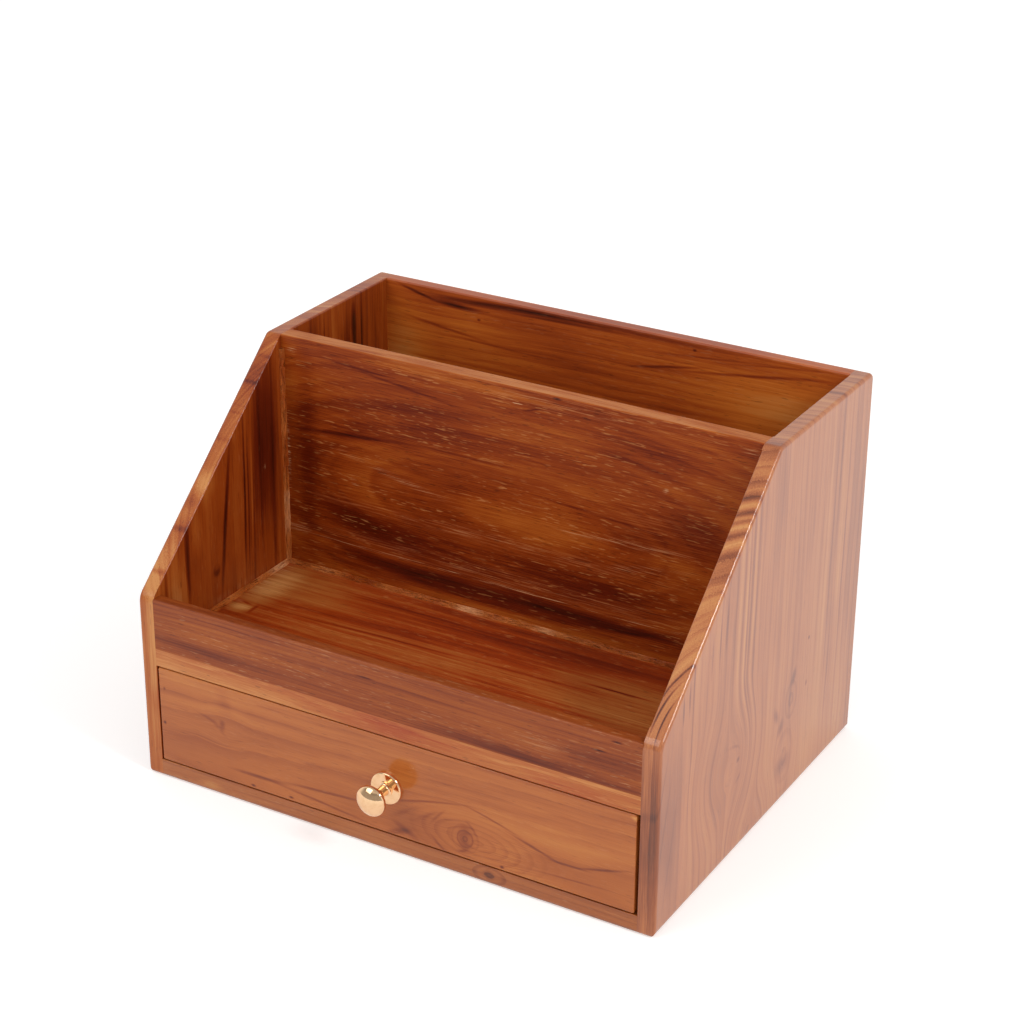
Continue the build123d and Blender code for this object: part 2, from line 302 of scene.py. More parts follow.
print("a fibre is about", FIBRE_REACH[0], "mm long and", FIBRE_REACH[1], "mm wide")

# %% [markdown]
# The last cells of a year's growth are dense, so each ring ends in a thin dark line. A knot is a
# branch cut across, with rings of its own that fade into the board's. In both, the season is the
# part of a year that has passed, and the line is drawn in late season. The tone is let into the
# season a little, so that no ring is perfectly even.

# %% The wood: lines of the years and of the knots
LATE_SEASON = (0.6, 1.0)
LATE_IN_KNOT = (0.45, 0.9)
KNOT_FADES = (0.75, 0.35)
UNEVEN_YEARS = 1.3


def late_wood(tree, tone, age, eyes, ring, depth):
    """How much the dense wood at the end of each year changes the tone, a number below 0."""
    years = calc(tree, "DIVIDE", age, ring)
    season = calc(tree, "FRACT", calc(tree, "MULTIPLY_ADD", tone, UNEVEN_YEARS, years))
    late = spread(tree, season, *LATE_SEASON, high=-depth, soft=True)
    for away, rings, knot_depth in eyes:
        season = calc(tree, "FRACT", calc(tree, "MULTIPLY_ADD", away, rings, tone))
        line = spread(tree, season, *LATE_IN_KNOT, high=-knot_depth, soft=True)
        fade = spread(tree, away, *KNOT_FADES)
        late = calc(tree, "MULTIPLY_ADD", line, fade, late)
    return late


print("late wood is the last", round(1 - LATE_SEASON[0], 2), "of a year's ring")

# %% [markdown]
# What belongs to one board alone is placed as soft ellipses that are added to the tone:
# marks, such as a pale patch or a speck, lie on the face, and streaks lie in the rings, so that
# they bend round the knots and turn up again where the same rings are cut on the board's edge. The
# narrow edges of a board were planed last: they look fresher than its faces, and the rings stand
# out more there. Which side a point is on is read from the direction of its surface.
# A few marks are painted light and painted shade instead of wood; each is named where it stands.

# %% The wood: the tone of one board


def tone_of_board(tree, turn, moved, age, eyes, ring, contrast, marks, streaks, edges, seed):
    """One number for the colour of the wood, and the fibres alone.

    edges is how much lighter the board's narrow edges are, and how much stronger the figure there.
    """
    along = add(tree, "SeparateXYZ", {0: moved})
    in_rings = add(tree, "CombineXYZ", {"X": (along, "X"), "Y": age, "Z": (along, "Z")})
    tone, fibres = figure(tree, moved, in_rings, ring, contrast, seed)
    tone = calc(tree, "ADD", tone, late_wood(tree, tone, age, eyes, ring, contrast[3]))
    for place, group in ((moved, marks), (in_rings, streaks)):
        for *ellipse, amount in group:
            patch = soft_ellipse(tree, place, *ellipse)
            tone = calc(tree, "MULTIPLY_ADD", patch, amount, tone)
    facing = add(tree, "TexCoord")
    turned = add(
        tree, "Mapping", {"Vector": (facing, "Normal"), "Rotation": turn}, vector_type="VECTOR"
    )
    outward = add(tree, "SeparateXYZ", {0: turned})
    flat = calc(tree, "ABSOLUTE", (outward, "Z"))
    edge = calc(tree, "MULTIPLY_ADD", flat, -1.0, 1.0)
    lighter, stronger = edges
    change = calc(tree, "MULTIPLY_ADD", tone, stronger, lighter - PLAIN_TONE * stronger)
    tone = calc(tree, "MULTIPLY_ADD", change, edge, tone)
    return tone, fibres


print("the five colours of a board sit at the tones", TONE_PLACES)

# %% [markdown]
# Teak is ring-porous: its pores are long open tubes, cut as short dashes on a face and as dots on
# a sawn end. Under dark lacquer some hold dust and polish and look pale, the rest are shadows.
# They come in rows, so their number waxes and wanes across the face. One noise gives both kinds:
# its highest places are the open pores and its lowest ones the filled pores. Glue and putty wiped
# across the grain fill its hollows too, and leave a broken pale film.

# %% The wood: pores and smears
PORE_REACH = (8, 0.9, 0.9)
PORE_SHIFT = (7, 3)
PORE_ROW_REACH = (120, 9, 40)
OPEN_PORES = (0.66, 0.75)
FILLED_PORES = (0.38, 0.29)
PORE_ROWS = (0.38, 0.62)
BROKEN_FILM = (0.53, 0.62)
PUTTY = "#D2A074"


def blend_colour(tree, amount, under, over):
    """Lays an even colour over the colour that a node gives out."""
    return (add(tree, "Mix", {0: amount, 6: under, 7: linear(over)}, data_type="RGBA"), 2)


def with_pores(tree, wood, moved, dark, dark_pores, pale, pale_pores, seed):
    """The colour of the wood with its pores in it, and the open pores alone."""
    noise = stretched_noise(tree, moved, PORE_REACH, 1.0, (seed, *PORE_SHIFT))
    open_pores = spread(tree, noise, *OPEN_PORES, soft=True)
    filled = spread(tree, noise, *FILLED_PORES, high=pale_pores, soft=True)
    rows = spread(tree, stretched_noise(tree, moved, PORE_ROW_REACH, 2.0), *PORE_ROWS)
    dark_amount = calc(tree, "MULTIPLY", open_pores, dark_pores)
    pale_amount = calc(tree, "MULTIPLY", filled, rows)
    shaded = blend_colour(tree, dark_amount, wood, dark)
    return blend_colour(tree, pale_amount, shaded, pale), open_pores


def with_smears(tree, colour, moved, fibres, smears):
    """The colour with a film of putty over it, which breaks up along the fibres."""
    for *ellipse, amount in smears:
        patch = soft_ellipse(tree, moved, *ellipse)
        film = calc(tree, "MULTIPLY", spread(tree, fibres, *BROKEN_FILM), patch)
        colour = blend_colour(tree, calc(tree, "MULTIPLY", film, amount), colour, PUTTY)
    return colour


print("a pore is cut", PORE_REACH[0], "mm long and", PORE_REACH[1], "mm wide")

# %% [markdown]
# On top lies a clear coat. It is what gives this organizer its look: it mirrors the white room, so
# a face seen at a slant turns pinkish, while inside the tray, where it mirrors only more teak, the
# wood glows deep orange. Under it the fibres and the open pores can just be felt. The coat itself
# follows them only faintly, with the slow waves that a brush leaves.

# %% The wood: lacquer and the finished board material
POLISHED = (1.0, 0.12)
LACQUER_IOR = 1.5
WOOD_ROUGHNESS = (0.36, 0.56)
GRAIN_DEPTH = 0.1 * MM
BRUSH_WAVE = 14
BRUSH_DEPTH = 0.12 * MM
GRAIN_IN_COAT = 0.05


def teak(
    name,
    turn,
    pith,
    tones,
    ring=4.5,
    wander=5.0,
    contrast=(0.12, 0.3, 0.2, 0.1, 0.14),
    knots=(),
    marks=(),
    streaks=(),
    smears=(),
    edges=(0.0, 0.0),
    pale_pores=0.25,
    dark_pores=0.5,
    pale="#D9A676",
    lacquer=POLISHED,
    wood_gloss=0.1,
    seed=0.0,
):
    """Lacquered teak. The lacquer is given as its weight and its roughness."""
    material, tree, shader = new_material(name)
    mm = millimetres(tree, turn)
    moved, age, eyes = ring_age(tree, mm, pith, wander, knots, seed)
    tone, fibres = tone_of_board(
        tree, turn, moved, age, eyes, ring, contrast, marks, streaks, edges, seed
    )
    wood = add(tree, "ValToRGB", {"Fac": tone}, stops=list(zip(TONE_PLACES, tones)))
    colour, open_pores = with_pores(
        tree, (wood, 0), moved, tones[0], dark_pores, pale, pale_pores, seed
    )
    colour = with_smears(tree, colour, moved, fibres, smears)
    relief = calc(tree, "MULTIPLY_ADD", open_pores, -1.0, fibres)
    brushed = add(tree, "TexNoise", {"Vector": mm, "Scale": 1 / BRUSH_WAVE, "Detail": 1.0})
    skin = calc(tree, "MULTIPLY_ADD", relief, GRAIN_IN_COAT, brushed)
    grain = {"Height": relief, "Strength": 0.25, "Distance": GRAIN_DEPTH}
    coat = {"Height": skin, "Strength": 0.3, "Distance": BRUSH_DEPTH}
    coat_weight, coat_roughness = lacquer
    fill(
        tree,
        shader,
        {
            "Base Color": colour,
            "Roughness": spread(tree, fibres, 0.0, 1.0, *WOOD_ROUGHNESS),
            "Normal": add(tree, "Bump", grain),
            "Coat Normal": add(tree, "Bump", coat),
            "IOR": LACQUER_IOR,
            "Specular IOR Level": wood_gloss,
            "Coat Weight": coat_weight,
            "Coat Roughness": coat_roughness,
            "Coat IOR": LACQUER_IOR,
        },
    )
    return material


print("full lacquer:", POLISHED[0], "of a coat with a roughness of", POLISHED[1])

# %% [markdown]
# Now each board gets its place in a log. The figures below were chosen for each board in turn:
# where the rings run wide or narrow, where a knot pushes them aside, and which streaks or
# patches an eye would remember it by. All lengths are millimetres and all leans are degrees. A mark
# is (u, v, reach along, reach across, lean, tone), where u and v lie on the board's face. A streak
# is the same with the age of its rings for v, so it goes round the corners with them. A smear ends
# in its cover. A knot ends in how hard it pushes the grain aside, the number of its own rings and
# how dark they are.

# %% Boards: the two sides
finish_node(
    "right_side_panel",
    teak(
        "lacquered_teak_right_side",
        UPRIGHT_GRAIN,
        pith=(-121, -194, 0, 0),
        tones=("#54220E", "#924A24", "#B66A3A", "#C8844A", "#DA9E62"),
        ring=6.5,
        wander=4.0,
        contrast=(0.12, 0.16, 0.18, 0.06, 0.13),
        knots=(
            (62, -47, 54, 54, 0, 50, 0, 0),
            (58, -42, 16, 9, 20, 4, 2, 0.03),
            (2, -12, 44, 44, 0, 42, 0, 0),
            (30, 30, 34, 24, 0, 18, 3, 0.08),
            (64, 36, 24, 16, 0, 10, 3, 0.1),
            (30, 100, 40, 22, 0, 10, 0, 0),
        ),
        marks=(
            (57, -129.0, 110, 7, 0, -0.1),
            (60, -112, 130, 34, 0, -0.12),
            (65, -120, 40, 1.4, 13, -0.1),
            (45, -113, 46, 1.1, 11, -0.1),
            (88, -123, 30, 1.2, 15, -0.1),
            (60, -43, 2.4, 1.8, 0, -0.3),
            (48, -40, 4, 1.6, 40, -0.14),
            (70, -44, 5, 1.2, -30, -0.12),
            (78, 38, 8, 3.5, 20, -0.26),
            (62, 16, 9, 4, -30, -0.2),
            (52, 24, 8, 5, 20, -0.22),
            (25, 28, 10, 9, 0, -0.2),
            (65, 57, 3, 2, 0, -0.24),
            (94, 57, 1.8, 1.6, 0, -0.5),
            (20, 60, 50, 80, 0, 0.12),
        ),
        streaks=(
            (130, 41, 160, 0.9, 0, -0.22),
            (150, 82, 110, 2.0, 0, -0.14),
            (150, 86.4, 130, 2.4, 0, 0.18),
            (150, 90.2, 130, 2.2, 0, -0.2),
            (150, 93.6, 130, 2.0, 0, 0.18),
            (130, 96.0, 140, 1.4, 0, -0.14),
            (150, 99.6, 130, 2.2, 0, -0.2),
            (150, 102.6, 120, 2.0, 0, 0.16),
            (150, 106, 130, 2.2, 0, -0.16),
            (170, 109.5, 90, 1.4, 0, 0.1),
            (60, 118, 100, 0.9, 0, -0.12),
            (152, 73, 24, 1.6, 0, -0.22),
            (146, 66, 24, 1.4, 0, -0.22),
            (140, 58, 20, 1.2, 0, -0.22),
            (128, 38, 14, 1.0, 0, -0.3),
            (124, 34, 12, 0.8, 0, -0.3),
            (150, 199, 150, 3.4, 0, 0.16),
            (140, 205, 150, 1.8, 0, -0.2),
            (190, 211, 90, 2.4, 0, -0.22),
            (60, 210, 70, 1.6, 0, -0.16),
            (150, 216, 150, 3.4, 0, 0.12),
            (130, 222, 150, 1.4, 0, -0.14),
            (150, 233, 130, 7, 0, -0.1),
        ),
        edges=(0.02, 1.0),
        pale_pores=0.06,
        dark_pores=0.2,
        wood_gloss=0.27,
        seed=3.1,
    ),
)
finish_node(
    "left_side_panel",
    teak(
        "lacquered_teak_left_side",
        UPRIGHT_GRAIN,
        pith=(-60, 100, 0, 0),
        tones=("#340902", "#681F05", "#96400E", "#B05D22", "#CA8648"),
        ring=6.0,
        wander=3.0,
        contrast=(0.1, 0.26, 0.26, 0.06, 0.16),
        marks=(
            (212, 79, 20, 4.0, 0, -0.4),
            (190, 80, 46, 2.4, 0, -0.5),
            (195, 88, 44, 1.2, 0, -0.45),
            (190, 72, 60, 6, 0, -0.2),
            (190, 57, 60, 7, 0, 0.14),
            (190, 48, 60, 1.4, 0, -0.34),
            (190, 36, 60, 9, 0, -0.24),
            (190, 34, 60, 1.2, 0, -0.24),
            (190, 101, 60, 10, 0, 0.08),
            (55, -128.6, 26, 1.8, 0, -0.4),
            (135, -57, 62, 2.6, 8, -0.46),
            (118, -94, 40, 3.0, 0, -0.42),
            (110, -114, 30, 2.6, 0, -0.34),
            (140, -38, 75, 1.5, 1, -0.4),
            (140, -34.5, 75, 1.0, 1, -0.3),
            (140, -31, 70, 1.6, 1, 0.24),
            (165, -14, 95, 19, 0, -0.28),
            (165, -22, 90, 2, 0, -0.2),
            (165, -9, 90, 2, 0, -0.2),
            (100, -104, 50, 34, 0, 0.28),
            (190, 70, 70, 60, 0, -0.08),
            (140, -86, 24, 8, 0, 0.2),
            (162, -72, 16, 10, 30, 0.18),
            (107, -67.5, 5.0, 4.6, 0, -0.4),
            (108, -67.5, 3.4, 3.2, 0, 0.3),
        ),
        smears=((154, -17, 2.2, 1.6, 0, 0.8), (88, -60, 4, 60, 0, 0.2)),
        edges=(0.22, 0.7),
        pale_pores=0.06,
        dark_pores=0.35,
        lacquer=(0.7, 0.22),
        wood_gloss=0.12,
        seed=8.4,
    ),
)
print("sides finished")

# %% Boards: across the carcass
finish_node(
    "divider_panel",
    teak(
        "lacquered_teak_divider",
        UPRIGHT_FACE,
        pith=(150, 90, 0.0, 0.0005),
        tones=("#2A0600", "#621A02", "#8C380A", "#AA561A", "#C47A42"),
        ring=6.0,
        wander=2.0,
        contrast=(0.12, 0.2, 0.28, 0.05, 0.28),
        marks=(
            (30, 100, 230, 6, 0, -0.34),
            (-20, 95, 260, 8, 0, -0.2),
            (0, 87, 190, 5, 0, 0.16),
            (40, 120, 140, 13, 0, -0.24),
            (-90, 122, 80, 16, 0, -0.2),
            (-105, 177, 60, 1.8, 5, -0.26),
            (-30, 181, 50, 1.4, 0, -0.18),
            (-110, 172, 50, 4, 3, 0.12),
            (60, 165, 90, 1.4, -4, -0.12),
            (-48, 200, 50, 18, 0, -0.1),
            (120, 170, 40, 22, -8, -0.16),
            (90, 208, 54, 16, 0, -0.18),
            # a darker band down the left end, beside the corner with the left side: painted shade
            (-138, 160, 11, 130, 0, -0.12),
            (-30, 226, 100, 5, -1, 0.26),
            (-10, 150, 110, 14, -3, 0.16),
            (-90, 163, 60, 4, -2, 0.12),
            (110, 146, 40, 8, -4, 0.14),
            (15, 205, 60, 14, 0, 0.12),
            (30, 229, 4, 1.0, 0, -0.5),
            (14, 219, 8, 1.0, 14, -0.3),
            (-70, 215, 60, 1.4, -7, -0.16),
            (-100, 220, 50, 1.2, -4, -0.16),
        ),
        smears=(
            (4, 221.5, 7, 1.2, -14, 3.0),
            (-152, 152, 2.6, 34, 0, 1.5),
            (-146, 108, 11, 4, 0, 0.9),
            (0, 105.6, 220, 1.2, 0, 0.8),
            (0, 111, 200, 6, 0, 0.22),
            (-20, 133, 170, 6, 0, 0.22),
            (98, 190, 3, 2, 40, 1.0),
            (132, 188, 3, 2, 30, 0.8),
            (-105, 147, 5, 3, -30, 0.7),
            (-75, 157, 60, 3, -12, 0.5),
            (70, 152, 70, 3, 3, 0.5),
            (85, 139, 44, 3, 10, 0.5),
            (100, 168, 60, 24, -8, 0.07),
            (20, 226, 130, 7, 0, 0.3),
            (148, 224, 8, 5, 0, 0.5),
            (-147, 222, 5, 2, 0, 1.2),
        ),
        edges=(0.4, 0.6),
        pale_pores=0.5,
        dark_pores=0.45,
        pale="#C8844C",
        lacquer=(0.2, 0.3),
        wood_gloss=0.05,
        seed=1.7,
    ),
)
finish_node(
    "back_panel",
    teak(
        "lacquered_teak_back",
        UPRIGHT_FACE,
        pith=(330, -60, 0, 0),
        tones=("#380B01", "#843008", "#AA4A10", "#CC6C20", "#E09448"),
        ring=5.5,
        wander=4.0,
        contrast=(0.12, 0.22, 0.22, 0.07, 0.16),
        marks=(
            (-105, 223.5, 28, 2.6, -3, -0.5),
            (-75, 226.8, 90, 3.0, 0, -0.4),
            (-30, 225, 60, 1.2, 1, -0.3),
            (-132, 227, 20, 1.5, -12, -0.4),
            (95, 216, 70, 1.6, 7, -0.34),
            (40, 211, 36, 1.6, 10, -0.34),
            (70, 222, 70, 1.0, 4, -0.16),
            (110, 224, 50, 1.0, 6, -0.2),
            (-115, 208, 50, 1.6, -7, -0.26),
            (-70, 202, 60, 1.2, -3, -0.16),
            (58, 225, 2, 1.4, 0, -0.4),
            (-88, 217, 2, 1.2, 0, -0.4),
            (-10, 228, 140, 2.5, 0, -0.16),
            # a lighter patch over the right part of the back: a painted pool of light
            (120, 200, 90, 56, 0, 0.26),
            (-95, 205, 60, 30, 0, 0.14),
            (-144, 190, 32, 44, 0, 0.34),
        ),
        edges=(0.04, 0.0),
        pale_pores=0.12,
        dark_pores=0.35,
        lacquer=(0.5, 0.3),
        wood_gloss=0.3,
        seed=5.9,
    ),
)
finish_node(
    "middle_shelf",
    teak(
        "lacquered_teak_shelf",
        ACROSS_THE_FACE,
        pith=(60, 20, 0, 0),
        tones=("#3E0F01", "#782203", "#A23C08", "#B8682C", "#DE9C58"),
        ring=4.0,
        wander=3.0,
        contrast=(0.1, 0.24, 0.3, 0.06, 0.18),
        marks=(
            (60, -16, 160, 18, 1, -0.16),
            (0, -60, 190, 13, 2, 0.12),
            (-120, -20, 50, 30, 0, 0.16),
            (110, -50, 90, 60, 0, 0.18),
            (95, -38, 30, 1.4, 1, -0.45),
            (0, -48, 190, 1.8, 2, -0.2),
            (-60, -40, 110, 9, 2, -0.14),
            (-60, -16, 80, 2, 0, -0.2),
            # a lighter left end of the tray floor: painted light
            (-143, -30, 19, 44, 0, 0.36),
            (-144, -61, 12, 9, 20, 0.34),
            (-136, -59, 2.2, 8, 0, -0.3),
            (-144, -54, 7, 1.6, -12, -0.3),
        ),
        smears=(
            (-103, -33, 1.8, 1.8, 0, 0.7),
            (10, -40, 1.6, 1.6, 0, 0.7),
            (-149, -20, 6, 60, 0, 0.5),
            (-60, 0, 110, 3, 0, 0.3),
        ),
        edges=(0.24, 0.2),
        pale_pores=0.35,
        dark_pores=0.4,
        pale="#DC9256",
        lacquer=(0.65, 0.25),
        wood_gloss=0.2,
        seed=2.2,
    ),
)
finish_node(
    "front_lip",
    teak(
        "lacquered_teak_lip",
        UPRIGHT_FACE,
        pith=(-60, 160, 0, 0),
        tones=("#3A0D04", "#702A0C", "#924418", "#A8581F", "#BC7636"),
        ring=2.6,
        wander=2.0,
        contrast=(0.12, 0.2, 0.26, 0.05, 0.2),
        marks=(
            (-120, 90, 70, 7, -2, -0.16),
            (-120, 102, 60, 14, 0, 0.12),
            (0, 98, 70, 18, 0, -0.08),
            (90, 87, 90, 5, 0, -0.2),
            (130, 100, 60, 12, 0, -0.14),
            (-13, 105, 9, 0.8, 0, -0.45),
            (140, 112, 5, 1.0, 0, -0.5),
            (130, 104, 6, 0.8, 0, -0.4),
            (95, 98, 34, 8, 0, 0.14),
        ),
        smears=((95, 97, 24, 7, 0, 0.3),),
        pale_pores=0.3,
        dark_pores=0.5,
        lacquer=(0.55, 0.2),
        wood_gloss=0.06,
        seed=4.3,
    ),
)
finish_node(
    "base_board",
    teak(
        "lacquered_teak_base",
        UPRIGHT_FACE,
        pith=(-70, 90, 0, 0),
        tones=("#4A1C0A", "#86421A", "#A55A28", "#B46C34", "#C48848"),
        ring=4.0,
        wander=2.0,
        contrast=(0.1, 0.24, 0.18, 0.12, 0.1),
        knots=((65, 6, 22, 11, 0, 8, 3, 0.2),),
        marks=((65, 6, 5, 2.5, 0, -0.2), (-120, 5, 12, 4, 0, 0.3)),
        pale_pores=0.15,
        dark_pores=0.35,
        seed=6.6,
    ),
)
print("carcass boards finished")

# %% Boards: the drawer front
DRAWER_TONES = ("#5E2410", "#96481C", "#B5642B", "#C67A38", "#D89A54")
finish_node(
    "drawer_front",
    teak(
        "lacquered_teak_drawer_front",
        UPRIGHT_FACE,
        pith=(22, 67.75, 0.019, 0.0),
        tones=DRAWER_TONES,
        ring=4.4,
        wander=4.0,
        contrast=(0.14, 0.16, 0.22, 0.08, 0.13),
        knots=(
            (50, 24, 14, 15, -10, 9, 4, 0.14),
            (58, 24, 70, 30, -3, 13, 9, 0.08),
            (-108, 44, 26, 20, 0, 12, 0, 0),
        ),
        marks=(
            (50, 24, 7, 6.5, 0, -0.16),
            (48, 20, 6, 1.4, 30, -0.2),
            (54, 28, 7, 1.6, -40, -0.16),
            (33, 31, 9, 1.4, 42, -0.16),
            (33, 17, 9, 1.4, -38, -0.16),
            (12, 29, 15, 2.2, 28, -0.12),
            (12, 18, 13, 3, -24, -0.2),
            (26, 30, 13, 1.8, 26, -0.1),
            (-85, 21.5, 26, 1.7, 1, -0.36),
            (-40, 25, 46, 1.4, 4, -0.28),
            (-45, 18, 46, 1.3, -6, -0.26),
            (8, 16, 12, 3, 20, -0.22),
            (26, 38, 34, 1.4, 12, -0.26),
            (66, 39, 24, 1.3, -14, -0.3),
            (92, 31.5, 24, 1.3, -12, -0.3),
            (113, 28.5, 18, 1.2, 2, -0.3),
            (134, 33, 24, 1.2, 16, -0.3),
            (118, 20, 40, 1.0, 2, -0.18),
            (-110, 45, 3, 2.4, 10, -0.2),
            (-108, 60, 8, 16, 10, -0.1),
            (-118, 46, 16, 1.2, -20, -0.14),
            (-120, 36, 30, 1.2, 4, -0.14),
            (-90, 15, 2.4, 1.2, 0, -0.5),
            (-64, 15, 2.4, 1.2, 0, -0.5),
            (73, 16, 2, 1.4, 0, -0.5),
            (-151, 37, 1.6, 1.6, 0, -0.5),
            (-150, 58, 1.4, 1.4, 0, -0.3),
            # a pale patch on the rounded top right corner: partly wear, partly a painted highlight
            (152, 70, 4, 2, -20, 0.4),
            (90, 12, 70, 8, 0, 0.1),
        ),
        pale_pores=0.1,
        dark_pores=0.3,
        lacquer=(0.85, 0.12),
        seed=7.7,
    ),
)
print("drawer front finished")

# %% [markdown]
# The boards of the drawer box and the two blocks that stop the drawer are seen only when it is
# open. They come from plainer planks, so each gets its place in the log and no marks.

# %% Boards: inside the drawer
FRONT_TO_BACK_GRAIN = (math.radians(90), 0, math.radians(90))
PLAIN_PLANKS = (
    ("drawer_left_side", FRONT_TO_BACK_GRAIN, (-90, 60, 0, 0)),
    ("drawer_right_side", FRONT_TO_BACK_GRAIN, (140, -70, 0, 0)),
    ("drawer_back", UPRIGHT_FACE, (-60, 80, 0, 0)),
    ("drawer_stop_left", ACROSS_THE_FACE, (60, -50, 0, 0)),
    ("drawer_stop_right", ACROSS_THE_FACE, (90, -60, 0, 0)),
)
for k, (piece, turn, pith) in enumerate(PLAIN_PLANKS):
    finish_node(piece, teak("lacquered_teak_" + piece, turn, pith, DRAWER_TONES, seed=10.0 + k))
print("drawer box finished:", len(PLAIN_PLANKS), "plain pieces")

# %% [markdown]
# The thin bottom of the drawer is plywood and the dowels are beech. Both are pale woods without
# lacquer. Plywood shows a rotary-cut face veneer, with wide lazy rings, and its edge shows the
# plies, a millimetre each with the grain turned every time.

# %% Plywood and beech
VENEER_REACH = (90, 16, 3)
PALE_FIBRE_REACH = (18, 0.6, 0.6)
PLY = 1.0
CROSS_PLY_TONE = -0.12
BARE_ROUGHNESS = (0.5, 0.75)


def plain_wood(name, light, dark, ply=0.0):
    """Pale unlacquered wood; ply is the thickness of one ply in mm, or 0 for solid wood."""
    material, tree, shader = new_material(name)
    mm = millimetres(tree)
    veneer = stretched_noise(tree, mm, VENEER_REACH, 4.0, Distortion=0.6)
    fibres = stretched_noise(tree, mm, PALE_FIBRE_REACH, 3.0)
    tone = calc(tree, "MULTIPLY_ADD", fibres, 0.4, veneer)
    if ply:
        height = add(tree, "SeparateXYZ", {0: mm})
        layer = calc(tree, "PINGPONG", (height, "Z"), 2 * ply)
        turned = calc(tree, "GREATER_THAN", layer, ply)
        tone = calc(tree, "MULTIPLY_ADD", turned, CROSS_PLY_TONE, tone)
    felt = {"Height": fibres, "Strength": 0.4, "Distance": GRAIN_DEPTH}
    fill(
        tree,
        shader,
        {
            "Base Color": add(tree, "ValToRGB", {"Fac": tone}, stops=[(0.45, dark), (0.9, light)]),
            "Roughness": spread(tree, fibres, 0.0, 1.0, *BARE_ROUGHNESS),
            "Normal": add(tree, "Bump", felt),
        },
    )
    return material


finish_node("drawer_bottom", plain_wood("sanded_plywood", "#D2A470", "#A8743E", ply=PLY))
beech = plain_wood("turned_beech", "#DDB98C", "#BE925E")
for group in ("base_dowels", "shelf_dowels", "lip_dowels", "divider_dowels", "back_dowels"):
    finish_node(group, beech)
print("plywood with plies of", PLY, "mm and beech finished")

# %% [markdown]
# The knob and its plate are turned brass, polished on the lathe and lacquered. A metal has no
# colour of its own under the surface: all that the eye sees is the room, tinted by the brass. So
# the finish is mostly a tint and a low roughness, with the faint rings that the polishing mop and
# the tool leave, and small clouds where the lacquer has dulled.

# %% Brass and steel
DULL_SPOTS = 0.35
DULLER = 1.5
SHINIER = 0.6
RING_REACH = 50


def metal(name, tint, dull_tint, roughness, ring_width, ring_depth):
    """A turned and polished metal; the width and depth of its tool rings are in millimetres."""
    material, tree, shader = new_material(name)
    mm = millimetres(tree)
    clouds = add(tree, "TexNoise", {"Vector": mm, "Scale": DULL_SPOTS, "Detail": 4.0})
    rings = stretched_noise(tree, mm, (RING_REACH, ring_width, RING_REACH), 2.0)
    tint_stops = [(0.35, dull_tint), (0.6, tint)]
    tooled = {"Height": rings, "Strength": 0.4, "Distance": ring_depth * MM}
    fill(
        tree,
        shader,
        {
            "Base Color": add(tree, "ValToRGB", {"Fac": clouds}, stops=tint_stops),
            "Roughness": spread(tree, clouds, 0.0, 1.0, roughness * DULLER, roughness * SHINIER),
            "Normal": add(tree, "Bump", tooled),
            "Metallic": 1.0,
        },
    )
    return material


brass = metal(
    "polished_brass", "#FBD2A6", "#F2C698", roughness=0.07, ring_width=0.3, ring_depth=0.003
)
for piece in ("knob", "knob_rosette"):
    finish_node(piece, brass)
zinc = metal(
    "zinc_plated_steel", "#C4C6CA", "#A8AAAE", roughness=0.32, ring_width=0.25, ring_depth=0.01
)
for piece in ("knob_washer", "knob_screw", "drawer_side_brads", "drawer_bottom_brads"):
    finish_node(piece, zinc)
print("metal finished")

# %% [markdown]
# Where the tray's boards meet, the glue that was squeezed out was left to dry and then lacquered
# over. It lies in the corners as a thin hollow bead, amber where it is clear and paler where it
# took up air and dust. Its colours are also kept light as a painted highlight, so that the bead
# shows as a bright line in the shaded joints.

# %% Dried glue
CLOUDY_STRETCH = 40
STREAK = 2
STREAK_WEIGHT = 0.08
GLUE_ROUGHNESS = (0.3, 0.55)
GLUE_GLOSS = 0.2
GLUE_DEPTH = 0.1 * MM


def dried_glue():
    """Old wood glue under lacquer: clear amber with cloudy, paler stretches, kept light as a
    painted highlight.
    """
    material, tree, shader = new_material("dried_wood_glue_and_painted_highlight")
    mm = millimetres(tree)
    cloudy = add(tree, "TexNoise", {"Vector": mm, "Scale": 1 / CLOUDY_STRETCH, "Detail": 2.0})
    streaky = add(tree, "TexNoise", {"Vector": mm, "Scale": 1 / STREAK, "Detail": 3.0})
    both = calc(tree, "MULTIPLY_ADD", streaky, STREAK_WEIGHT, cloudy)
    # painted highlight: the ambers and the cream are kept light so the bead shows as a bright line
    # along the shaded joints
    glue_and_highlight_colours = [(0.42, "#A84A14"), (0.58, "#C87032"), (0.74, "#E4A472")]
    rippled = {"Height": streaky, "Strength": 0.4, "Distance": GLUE_DEPTH}
    fill(
        tree,
        shader,
        {
            "Base Color": add(tree, "ValToRGB", {"Fac": both}, stops=glue_and_highlight_colours),
            "Roughness": spread(tree, cloudy, 0.0, 1.0, *GLUE_ROUGHNESS),
            "Normal": add(tree, "Bump", rippled),
            "Specular IOR Level": GLUE_GLOSS,
        },
    )
    return material


glue = dried_glue()
print("glue mixed:", glue.name)

# %% [markdown]
# Each bead starts as a bar in its corner. The long edge that faces the tray is bevelled hollow,
# the length is divided, and a little unevenness does the rest. The corners of the tray are read
# from the boards round it, to a hundredth of a millimetre.

